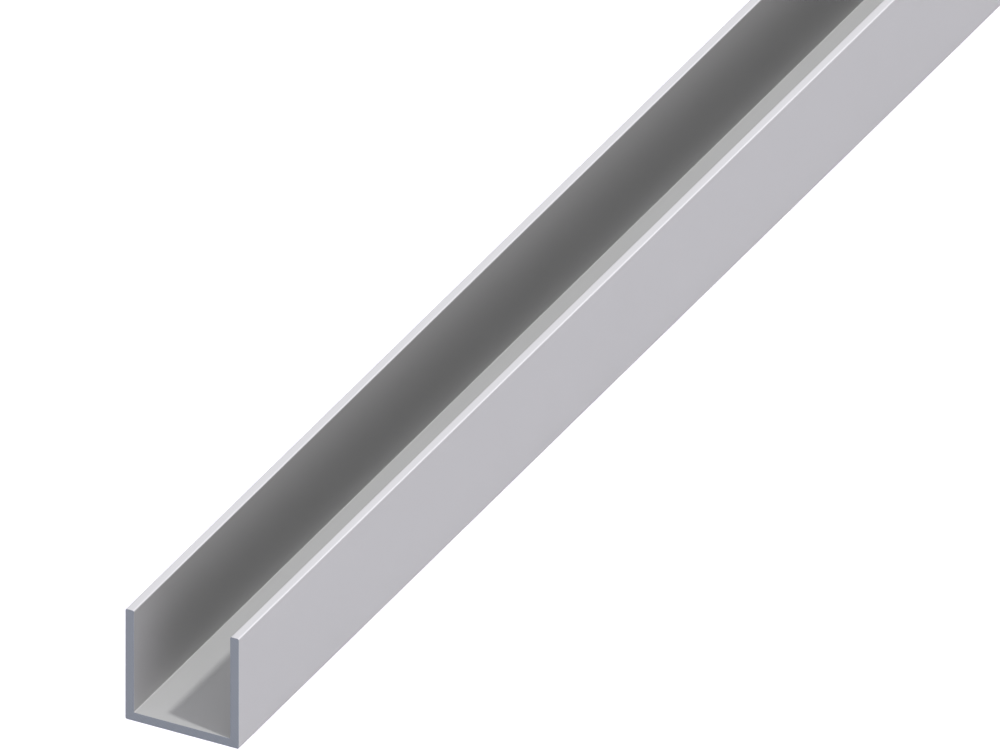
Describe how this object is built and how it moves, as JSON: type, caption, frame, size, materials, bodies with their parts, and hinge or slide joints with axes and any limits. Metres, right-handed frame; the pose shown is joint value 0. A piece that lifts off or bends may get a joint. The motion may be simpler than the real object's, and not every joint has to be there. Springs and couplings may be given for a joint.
{
  "type": "channel section",
  "caption": "Straight length of equal-leg aluminium channel: a flat web with upright flanges and square-sawn ends, for framing, edging or guides.",
  "frame": {"origin": "middle of the web's underside, half-way along the length", "axes": "+X across the channel, from one flange to the other; +Y along the length; +Z from the web towards the flanges' tips"},
  "size_m": [0.02, 1, 0.02],
  "materials": {
    "aluminium": "satin, natural silver"
  },
  "bodies": {
    "root": {"channel": "aluminium"}
  },
  "joints": []
}
